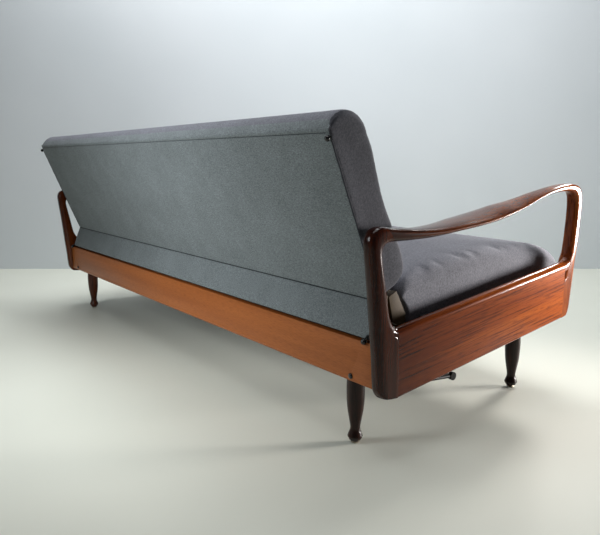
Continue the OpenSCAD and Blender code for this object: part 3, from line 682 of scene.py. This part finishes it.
def legs():
    """Four turned legs, with a long taper, a slim neck and a foot like a blunt diamond, on domed glides."""
    glides = []
    for side, side_name in SIDE_NAMES.items():
        for end in ("rear", "front"):
            node = f"{side_name}_{end}_leg"
            low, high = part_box(node)
            at = ((low.x + high.x) / 2 / MM, (low.y + high.y) / 2 / MM)
            profile = smooth_line(LEG_PROFILE + [(LEG_TOP_R, high.z / MM)], 5)
            piece = new_piece(f"{node}_turned", turned(profile, 64, at), [LEG_TEAK[side]], 60)
            settle(piece, "frame", "leg_wood", node)
            glides.append(turned(smooth_line(GLIDE_PROFILE, 4), 40, at))
    piece = new_piece("leg_glides_domed", join_shapes(*glides), [NICKEL], 60)
    settle(piece, "frame", "glide_metal", "leg_glides")


# Radius and height of a bolt from its end in the rail to the top of its round head
BOLT_PROFILE = [(3, -42), (3, 0), (6.4, 0), (6.6, 1.2), (5.6, 3), (3.2, 4), (0.8, 4.3)]
# Radius of the plain bolt head in the frame
BOLT_NODE_R = 6


def rail_bolt_heads():
    """A round-headed bolt through each end of the rear rail, black."""
    low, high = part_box("rail_bolts")
    head_x = high.x / MM - BOLT_NODE_R
    head_z = (low.z + high.z) / 2 / MM
    points, faces = turned(smooth_line(BOLT_PROFILE, 4), 32, (0, 0))
    shapes = []
    for side in SIDE_NAMES:
        placed = [points[:, 0] + side * head_x, points[:, 2] + RAIL_FACE_Y, points[:, 1] + head_z]
        shapes.append((np.column_stack(placed), faces))
    piece = new_piece("rail_bolts_domed", join_shapes(*shapes), [LACQUER], 50)
    settle(piece, "frame", "black_steel", "rail_bolts")


# The studs' distance from the sofa's middle, the radius of each ball and shank, how far the shank is turned
# from upright, and the depth and height of the ball's centre
STUD_X = 970
LOWER_STUD_R = 7.3
LOWER_SHANK_R = 2.5
LOWER_STUD_TURN = math.radians(-135)
LOWER_STUD_AT = (RAIL_FACE_Y + 5, RAIL_TOP + 3.5)
UPPER_STUD_R = 6.2
UPPER_SHANK_R = 3.6
UPPER_STUD_TURN = -math.pi / 2 - LEAN
UPPER_STUD_AT = in_back(-4.6, REAR_FACE - 9.5)
SHANK_RUN = 24


def ball_stud(radius, shank):
    """A black ball on a short shank, along Z, with its centre at the origin."""
    profile = [(shank, -SHANK_RUN), (shank, -radius)]
    for turn in np.radians(np.linspace(-60, 88, 24)):
        profile.append((radius * math.cos(turn), radius * math.sin(turn)))
    return turned(profile, 32, (0, 0))


def studs():
    """Black ball studs at the rear corners of the back: the lower pair stands on the rear rail's edge."""
    for node, radius, shank, (at_y, at_z), turn in (
            ("lower_studs", LOWER_STUD_R, LOWER_SHANK_R, LOWER_STUD_AT, LOWER_STUD_TURN),
            ("upper_studs", UPPER_STUD_R, UPPER_SHANK_R, UPPER_STUD_AT, UPPER_STUD_TURN)):
        points, faces = ball_stud(radius, shank)
        shapes = []
        for side in SIDE_NAMES:
            y = points[:, 1] * math.cos(turn) - points[:, 2] * math.sin(turn)
            z = points[:, 1] * math.sin(turn) + points[:, 2] * math.cos(turn)
            shapes.append((np.column_stack([points[:, 0] + side * STUD_X, y + at_y, z + at_z]), faces))
        piece = new_piece(f"{node}_turned", join_shapes(*shapes), [LACQUER], 50)
        settle(piece, "back", "black_steel", node)


# Upholstery

# The back's section from the fold round its front to the top seam: distance ahead of the rear face, and up
BACK_FRONT = [
    (31, 5), (54, 4), (76, 9), (96, 18), (107, 40), (110, 66), (109, 100), (107, 136), (104, 172),
    (103, 205), (105, 245), (107, 282), (108, 322), (106, 354), (101, 379), (91, 399), (73, 413), (50, 419),
    (30, 417), (13, 409), (2.5, 397), (0.5, 386)]
# How much smaller than its section the back starts, the round of its ends, and where the drawing in of its
# front and of its roll starts and is whole
BACK_SWELL = 2
BACK_END_ROUND = 16
FRONT_FULL_FROM = 60
ROLL_STARTS_UP = 330
ROLL_RISE = 60
ROLL_FULL_FROM = 14
# Depth of the rear cloth ahead of the rear face
REAR_SKIN = 0.2
# The seat's section from its rear foot over the top to its front foot: depth and height
SEAT_FORM = [
    (199, 290), (201, 300), (206, 326), (214, 345), (231, 374), (222, 389), (203, 402), (170, 410),
    (110, 419), (20, 428), (-90, 435), (-200, 439), (-290, 439), (-345, 432), (-388, 418), (-415, 400),
    (-430, 380), (-435, 356), (-434, 330), (-432, 300), (-429, 290)]
SEAT_MIDDLE_Y = -110
SEAT_HALF_DEPTH = 320
# Height of the crown along the seat's middle, how far it reaches in depth, and the height that it starts at
SEAT_CROWN = 12
SEAT_CROWN_REACH = 300
SEAT_CROWN_FROM = 380
# How much smaller the seat starts, the round of its ends, and where it comes free of its frame
SEAT_SWELL = 4
SEAT_END_ROUND = 26
SEAT_FREE_FROM = 335
SEAT_FREE_RISE = 90
SEAT_END_DRAW = 0.35
# Size of the even faces, and frames of the simulation
VOXEL = 7.5
FRAMES = 20


def part_way(value, start, run):
    """How much of a run, from 0 to 1, a value has passed since its start."""
    return min(1.0, max(0.0, (value - start) / run))


def draw_in(from_end, radius):
    """How far a section is drawn in at a distance from the rounded end."""
    if from_end >= radius:
        return 0.0
    return radius - math.sqrt(radius ** 2 - (radius - from_end) ** 2)


def end_places(half, rounded):
    """Places of the rings along a cushion: close together at its rounded ends."""
    steps = [rounded * (1 - math.cos(turn)) for turn in np.radians(np.linspace(0, 90, 9))]
    inner = list(np.linspace(rounded, half, 14))[1:]
    left = [step - half for step in steps + inner]
    return left + [-x for x in reversed(left[:-1])]


def back_form():
    """The back's upholstery before it is stuffed: a flat rear face, a roll over the top and a full front."""
    front = smooth_line(BACK_FRONT, 3)
    half = SOFT_HALF - 1
    rings = []
    for x in end_places(half, BACK_END_ROUND):
        drawn = draw_in(half - abs(x), BACK_END_ROUND) + BACK_SWELL
        ring = []
        for ahead, up in front:
            deep = ahead - drawn * part_way(ahead, 0, FRONT_FULL_FROM)
            rise = up - drawn * part_way(up, ROLL_STARTS_UP, ROLL_RISE) * part_way(ahead, 0, ROLL_FULL_FROM)
            ring.append([x, *in_back(deep, rise)])
        for up in np.linspace(REAR_FACE - 2, -6, 30):
            ring.append([x, *in_back(REAR_SKIN, up)])
        rings.append(ring)
    return skin(rings)


def seat_form():
    """The seat cushion before it is stuffed: crowned along its top, round at the front and at both ends."""
    outline = smooth_line(SEAT_FORM, 3)
    half = SOFT_HALF - 2
    rings = []
    for x in end_places(half, SEAT_END_ROUND):
        drawn = draw_in(half - abs(x), SEAT_END_ROUND)
        crown = SEAT_CROWN * (1 - (x / SOFT_HALF) ** 2)
        ring = []
        for y, z in outline:
            free = part_way(z, SEAT_FREE_FROM, SEAT_FREE_RISE)
            depth = (y - SEAT_MIDDLE_Y) / SEAT_HALF_DEPTH
            over = 0.0
            if z > SEAT_CROWN_FROM:
                over = max(0.0, math.cos(math.pi / 2 * (y - SEAT_MIDDLE_Y) / SEAT_CROWN_REACH))
            ring.append([x, y - depth * (drawn * SEAT_END_DRAW + SEAT_SWELL / 2),
                         z - drawn * free - SEAT_SWELL * free + crown * over])
        rings.append(ring)
    return skin(rings)


def even_skin(piece, voxel):
    """Remeshes a closed form into even faces."""
    remesh = piece.modifiers.new("even", "REMESH")
    remesh.mode = "VOXEL"
    remesh.voxel_size = voxel * MM
    remesh.use_smooth_shade = True
    apply_modifiers(piece)


def coordinates(mesh):
    """The mesh's points as an array."""
    flat = np.zeros(len(mesh.vertices) * 3)
    mesh.vertices.foreach_get("co", flat)
    return flat.reshape(-1, 3)


def back_places(points):
    """Distance ahead of the rear face and up from the fold, in millimetres, for an array of points."""
    y = points[:, 1] / MM - FOLD_Y
    z = points[:, 2] / MM - FOLD_Z
    return z * math.sin(LEAN) - y * math.cos(LEAN), y * math.sin(LEAN) + z * math.cos(LEAN)


# How far the stuffing may move the cloth where it is held, at the back's front and ends, and on the seat
HELD_BACK = 0.3
HELD_SEAT = 0.2
BACK_STUFFING = 4
BACK_END_STUFFING = 2.5
SEAT_STUFFING = 7


def back_reach(points):
    """How far each point of the back may move as it is stuffed: little on the flat rear face."""
    ahead, up = back_places(points)
    front = np.clip((ahead - 2) / 30, 0, 1)
    top = np.clip((up - REAR_FACE) / 12, 0, 1)
    end = np.clip((np.abs(points[:, 0]) / MM - (SOFT_HALF - 4)) / 3, 0, 1)
    swollen = BACK_STUFFING * np.maximum(front, top) * (1 - end)
    return (HELD_BACK + swollen + BACK_END_STUFFING * end * front) * MM


def seat_reach(points):
    """How far each point of the seat may move as it is stuffed: hardly where it rests on the frame."""
    free = np.clip((points[:, 2] / MM - 345) / 40, 0, 1)
    end = np.clip((np.abs(points[:, 0]) / MM - (SOFT_HALF - 5)) / 3, 0, 1)
    return (HELD_SEAT + SEAT_STUFFING * free * (1 - 0.6 * end)) * MM


def stuff(pieces_and_reach):
    """Lets closed forms swell as cloth under air pressure, and caps how far each point moves."""
    scene = bpy.context.scene
    starts = {}
    for piece, _ in pieces_and_reach:
        starts[piece.name] = coordinates(piece.data)
        cloth = piece.modifiers.new("stuffing", "CLOTH")
        cloth.settings.use_pressure = True
        cloth.settings.uniform_pressure_force = 4.0
        cloth.settings.effector_weights.gravity = 0.0
        cloth.settings.quality = 4
        cloth.settings.tension_stiffness = 12
        cloth.settings.compression_stiffness = 12
        cloth.settings.bending_stiffness = 0.6
        cloth.point_cache.frame_start = 1
        cloth.point_cache.frame_end = FRAMES
    for step in range(1, FRAMES + 1):
        scene.frame_set(step)
    depsgraph = bpy.context.evaluated_depsgraph_get()
    for piece, reach in pieces_and_reach:
        start = starts[piece.name]
        moved = coordinates(piece.evaluated_get(depsgraph).data) - start
        length = np.linalg.norm(moved, axis=1)
        allowed = reach(start)
        scale = np.minimum(1, allowed / np.maximum(length, 1e-9))
        piece.modifiers.clear()
        piece.data.vertices.foreach_set("co", (start + moved * scale[:, None]).ravel())
        piece.data.update()
    scene.frame_set(1)


def refine(piece):
    """One subdivision, after the stuffing."""
    finer = piece.modifiers.new("finer", "SUBSURF")
    finer.levels = 1
    finer.render_levels = 1
    apply_modifiers(piece)


def cut_loops(piece, cuts):
    """Cuts loops of edges into a mesh along planes, each given by a point in millimetres and a normal."""
    cut = bmesh.new()
    cut.from_mesh(piece.data)
    for point, normal in cuts:
        bmesh.ops.bisect_plane(cut, geom=[*cut.verts, *cut.edges, *cut.faces], dist=1e-6,
                               plane_co=Vector(point) * MM, plane_no=Vector(normal))
    cut.to_mesh(piece.data)
    cut.free()


# The seam under the top roll: its height, how deep its stitches pull, how full the cloth stands above it
TOP_SEAM_UP = 384
SEAM_DIP = 1.1
SEAM_SWELL = 1.6
# How near the end a face belongs to the end panel, and how far round the roll the rear cloth reaches
END_PANEL_REACH = 30
REAR_CLOTH_REACH = 18


def sew_back(piece):
    """The seam under the top roll, and the three cloths of the rear, the front and the ends: copies of one
    cloth with painted cool light on the rear, painted window light on the front and painted shade on the
    ends.
    """
    up_axis = (0, math.sin(LEAN), math.cos(LEAN))
    cuts = []
    for offset in (-4, -2, 0, 2, 4):
        cuts.append(((0, *in_back(0, TOP_SEAM_UP + offset)), up_axis))
    for side in SIDE_NAMES:
        cuts.append(((side * (SOFT_HALF - 3), 0, 0), (1, 0, 0)))
    cut_loops(piece, cuts)
    points = coordinates(piece.data)
    ahead, up = back_places(points)
    from_end = SOFT_HALF - abs(points[:, 0]) / MM
    rear = np.clip((12 - ahead) / 8, 0, 1) * np.clip((from_end - 6) / 8, 0, 1)
    dip = SEAM_DIP * np.exp(-((up - TOP_SEAM_UP) / 1.9) ** 2) * rear
    swell = SEAM_SWELL * np.exp(-((up - TOP_SEAM_UP - 9) / 6) ** 2) * rear
    shift = (dip - swell) * MM
    points[:, 1] -= shift * math.cos(LEAN)
    points[:, 2] += shift * math.sin(LEAN)
    piece.data.vertices.foreach_set("co", points.ravel())
    cloths = [WOOL_REAR_COOL_LIT, WOOL_FRONT_WINDOW_LIT, WOOL_END_SHADED]
    piece.data.materials.clear()
    for cloth in cloths:
        piece.data.materials.append(cloth)
    for face in piece.data.polygons:
        ahead, up = back_places(np.array([face.center]))
        if abs(face.center.x) / MM > SOFT_HALF - END_PANEL_REACH and abs(face.normal.x) > 0.4:
            cloth = WOOL_END_SHADED
        elif ahead[0] < REAR_CLOTH_REACH and (face.normal.y > 0.2 or up[0] < 300):
            cloth = WOOL_REAR_COOL_LIT
        else:
            cloth = WOOL_FRONT_WINDOW_LIT
        face.material_index = cloths.index(cloth)
    piece.data.update()


# Radius of the welts and how far they lie in from the ends, down the rear edge and over the roll
WELT_R = 2.1
WELT_INWARD = 1.6
ROLL_WELT_R = 1.0
ROLL_WELT_INWARD = 3.0


def welts(back):
    """A piped seam down the rear edge of each end of the back, finer where it turns over the top roll."""
    surface = BVHTree.FromObject(back, bpy.context.evaluated_depsgraph_get())
    edge = [(REAR_SKIN, up) for up in np.linspace(3, 380, 60)]
    roll = smooth_line([(REAR_SKIN, 380), (0.4, 386), (3.4, 396), (13, 404), (26, 409), (40, 411)], 6)[1:]
    shapes = []
    for side in SIDE_NAMES:
        for line, inward, radius in ((edge, WELT_INWARD, WELT_R), (roll, ROLL_WELT_INWARD, ROLL_WELT_R)):
            path = []
            for ahead, up in line:
                wanted = Vector((side * (SOFT_HALF - inward), *in_back(ahead, up))) * MM
                found, normal = surface.find_nearest(wanted)[:2]
                path.append(np.array(found + normal * 0.3 * radius * MM) / MM)
            even = smooth_line(np.array(path)[::3], 3)
            shapes.append(rod_along(even, radius, 12))
    piece = new_piece("back_end_welts", join_shapes(*shapes), [WOOL_END_SHADED], 60)
    settle(piece, "back", "seat_fabric")


# Distance ahead of the rear face, height above the fold, radius and half length of each dark cord that
# paints shade into a seam
FOLD_SHADE_CORD = (0.2, -0.4, 1.5, SOFT_HALF - 3)
TOP_SEAM_SHADE_CORD = (0.5, TOP_SEAM_UP, 0.6, SOFT_HALF - 14)


def seam_shade_cords():
    """Dark cords sunk in the fold line and in the seam under the top roll: painted shade in the seams'
    grooves.
    """
    shapes = []
    for ahead, up, radius, half in (FOLD_SHADE_CORD, TOP_SEAM_SHADE_CORD):
        path = [(x, *in_back(ahead, up)) for x in np.linspace(-half, half, 60)]
        shapes.append(rod_along(path, radius, 8))
    piece = new_piece("rear_seam_shade_cords", join_shapes(*shapes), [WOOL_SHADE_TAPE], 60)
    settle(piece, "back", "rear_fabric")


def upholstery():
    """Back and seat: remeshed, stuffed, refined and sewn."""
    back = new_piece("back_upholstery", back_form(), [WOOL_REAR_COOL_LIT])
    seat = new_piece("seat_cushion_stuffed", seat_form(), [WOOL_SEAT_SHADED])
    for piece in (back, seat):
        even_skin(piece, VOXEL)
    stuff([(back, back_reach), (seat, seat_reach)])
    for piece in (back, seat):
        refine(piece)
        piece.data.shade_smooth()
    sew_back(back)
    settle(back, "back", "seat_fabric", "back_cushion", "back_rear_cover", "back_end_pads")
    settle(seat, "seat_carriage", "seat_fabric", "seat_cushion", "seat_border")
    welts(back)
    seam_shade_cords()


# The tail's section, outer face and inner face: depth and height, from the fold line down and up again
TAIL_OUTER = [
    (284.6, 361.4), (288.4, 360.6), (291.2, 356.4), (298.0, 341), (306.5, 321), (314.5, 300),
    (319.0, 287.5), (319.4, 283.8), (317.2, 281.6), (313.0, 281.2)]
TAIL_INNER = [(309, 284), (303, 300), (296, 318), (289, 336), (284.5, 350), (283.5, 359)]
TAIL_TOP = TAIL_OUTER[0][1]
# How much each end comes in for each unit of drop, the cloth's slight ripple, and the draw at its ends
TAIL_TAPER = 0.05
TAIL_RIPPLE = 0.7
TAIL_END_DRAW = 1.6
# The painted shade strip's top, how far below the rail's top it ends, and half its length
SHADE_STRIP_TOP = 290
SHADE_STRIP_BELOW_RAIL = 10
SHADE_STRIP_HALF = SOFT_HALF * (1 - TAIL_TAPER / 12)


def tail_cover():
    """Cloth over the tail of the back, from the fold line to the rear rail."""
    outline = np.vstack([smooth_line(TAIL_OUTER, 3), smooth_line(TAIL_INNER, 2)])
    half = SOFT_HALF - 1
    rings = []
    for x in np.linspace(-half, half, 140):
        drawn = TAIL_END_DRAW * (1 - np.clip((half - abs(x)) / 6, 0, 1))
        ring = []
        for y, z in outline:
            ripple = TAIL_RIPPLE * noise.noise(Vector((x / 90, z / 30, 2.5)))
            narrower = 1 - TAIL_TAPER * (TAIL_TOP - z) / SOFT_HALF
            ring.append([x * narrower, y - drawn + ripple * math.cos(LEAN), z + ripple * math.sin(LEAN)])
        rings.append(ring)
    piece = new_piece("back_tail_cover_cloth", skin(rings), [WOOL_REAR_COOL_LIT], 60)
    settle(piece, "back", "rear_fabric", "back_tail_cover")


def tail_shade_strip():
    """A dark strip tucked in behind the rear rail, below the tail's cloth: painted shade in the gap between
    them.
    """
    foot = RAIL_TOP - SHADE_STRIP_BELOW_RAIL
    section = [(RAIL_INNER_Y - 2, SHADE_STRIP_TOP), (RAIL_INNER_Y - 2, foot),
               (RAIL_INNER_Y - 5, foot), (RAIL_INNER_Y - 8, SHADE_STRIP_TOP)]
    rings = [[[x, y, z] for y, z in section] for x in np.linspace(-SHADE_STRIP_HALF, SHADE_STRIP_HALF, 40)]
    settle(new_piece("back_tail_shade_strip", skin(rings), [WOOL_SHADE_TAPE], 60), "back", "rear_fabric")


# Stage

# Place in metres, lens in millimetres, and turn and tilt in degrees of the photograph's camera
CAMERA_AT = (-1.9421, 1.2415, 0.6653)
CAMERA_LENS = 38.03
CAMERA_YAW = 52.693
CAMERA_PITCH = 9.612
# In metres: half the width of the floor, and the backdrop's distance from the camera, half width and height
FLOOR_HALF = 9.0
BACKDROP_AWAY = 3.88
BACKDROP_HALF = 6
BACKDROP_HIGH = 4


def camera():
    """The photograph's viewpoint: behind the left end, a little above the arms."""
    yaw = math.radians(CAMERA_YAW)
    pitch = math.radians(CAMERA_PITCH)
    ahead = Vector((math.sin(yaw) * math.cos(pitch), -math.cos(yaw) * math.cos(pitch), -math.sin(pitch)))
    data = bpy.data.cameras.new("camera")
    data.lens = CAMERA_LENS
    data.sensor_width = 36
    made = bpy.data.objects.new("camera", data)
    bpy.context.scene.collection.objects.link(made)
    made.location = CAMERA_AT
    made.rotation_mode = "QUATERNION"
    made.rotation_quaternion = ahead.to_track_quat("-Z", "Y")
    bpy.context.scene.camera = made


def painted_ground(name, roughness, first, second):
    """Matt paint on a plain surface, whose tone drifts slowly between two close colours."""
    finish, tree, shader, place = new_finish(name, {"Roughness": roughness, "Specular IOR Level": 0.3})
    cloud = stretched_noise(tree, place, (900, 900, 900), detail=2)
    tree.links.new(ramp(tree, cloud, [(0.3, first), (0.7, second)]), shader.inputs["Base Color"])
    return finish


def one_sided(finish):
    """Makes a surface clear from behind, so that a view from there passes through it."""
    tree = finish.node_tree
    output = next(n for n in tree.nodes if n.type == "OUTPUT_MATERIAL")
    shader = output.inputs["Surface"].links[0].from_socket
    clear = add(tree, "ShaderNodeBsdfTransparent", {})
    side = add(tree, "ShaderNodeNewGeometry", {}).outputs["Backfacing"]
    chosen = add(tree, "ShaderNodeMixShader", {}, {0: side, 1: shader, 2: clear.outputs[0]})
    tree.links.new(chosen.outputs[0], output.inputs["Surface"])


def stage_plane(name, corners, finish):
    """A flat part of the stage, which isn't part of the sofa."""
    mesh = bpy.data.meshes.new(name)
    mesh.from_pydata(corners, [], [(0, 1, 2, 3)])
    mesh.materials.append(finish)
    plane = bpy.data.objects.new(name, mesh)
    bpy.context.scene.collection.objects.link(plane)


def set_stage():
    """A pale floor and a plain pale backdrop across the view."""
    floor_corners = [(x * FLOOR_HALF, y * FLOOR_HALF, 0) for x, y in ((-1, -1), (1, -1), (1, 1), (-1, 1))]
    stage_plane("floor", floor_corners, painted_ground("pale_floor", 0.5, "#dadcd0", "#e0e2d6"))
    yaw = math.radians(CAMERA_YAW)
    ahead = Vector((math.sin(yaw), -math.cos(yaw), 0))
    across = Vector((math.cos(yaw), math.sin(yaw), 0)) * BACKDROP_HALF
    foot = Vector((CAMERA_AT[0], CAMERA_AT[1], 0)) + ahead * BACKDROP_AWAY
    top = foot + Vector((0, 0, BACKDROP_HIGH))
    backdrop = painted_ground("pale_backdrop", 0.8, "#d8dee2", "#dfe4e8")
    one_sided(backdrop)
    stage_plane("backdrop", [top - across, top + across, foot + across, foot - across], backdrop)


def lamp(name, at, aim, size, power, colour, spread):
    """A soft rectangular lamp, whose beam has a spread in degrees."""
    data = bpy.data.lights.new(name, "AREA")
    data.shape = "RECTANGLE"
    data.size, data.size_y = size
    data.energy = power
    data.color = linear(colour)[:3]
    data.spread = math.radians(spread)
    made = bpy.data.objects.new(name, data)
    bpy.context.scene.collection.objects.link(made)
    made.location = at
    made.rotation_mode = "QUATERNION"
    made.rotation_quaternion = (Vector(aim) - Vector(at)).to_track_quat("-Z", "Y")


def lights():
    """A low and a high window beyond the near end, one behind the sofa, a wide pale ceiling, a wash over the
    backdrop and a dim room."""
    lamp("low_window", (-1.85, -1.8, 0.44), (-1.02, -0.42, 0.41), (0.6, 0.4), 7.0, "#fff9f5", 40)
    lamp("high_window", (-0.45, -2.0, 1.7), (-0.8, -0.38, 0.45), (0.45, 0.45), 2.2, "#fff9f5", 46)
    lamp("rear_window", (-0.2, 1.5, 0.85), (-0.2, 0.3, 0.42), (0.5, 0.5), 4.3, "#f7fcff", 104)
    lamp("ceiling", (-0.7, 0.5, 3.4), (-0.5, 0.4, 0.0), (2.4, 2.4), 44, "#fbfdff", 180)
    lamp("backdrop_wash", (0.5, -0.3, 3.2), (1.1, -1.7, 0.7), (3.2, 0.6), 62, "#fbfdff", 140)
    world = bpy.data.worlds.new("room")
    world.use_nodes = True
    tree = world.node_tree
    tree.nodes.clear()
    dim = add(tree, "ShaderNodeBackground", {"Color": linear("#e6e9ea"), "Strength": 0.1})
    add(tree, "ShaderNodeOutputWorld", {}, {"Surface": dim.outputs[0]})
    bpy.context.scene.world = world


camera()
dress_nodes()
arms()
side_panels()
boards()
legs()
rail_bolt_heads()
studs()
upholstery()
tail_cover()
tail_shade_strip()
set_stage()
lights()
bpy.context.scene.view_settings.view_transform = "Standard"
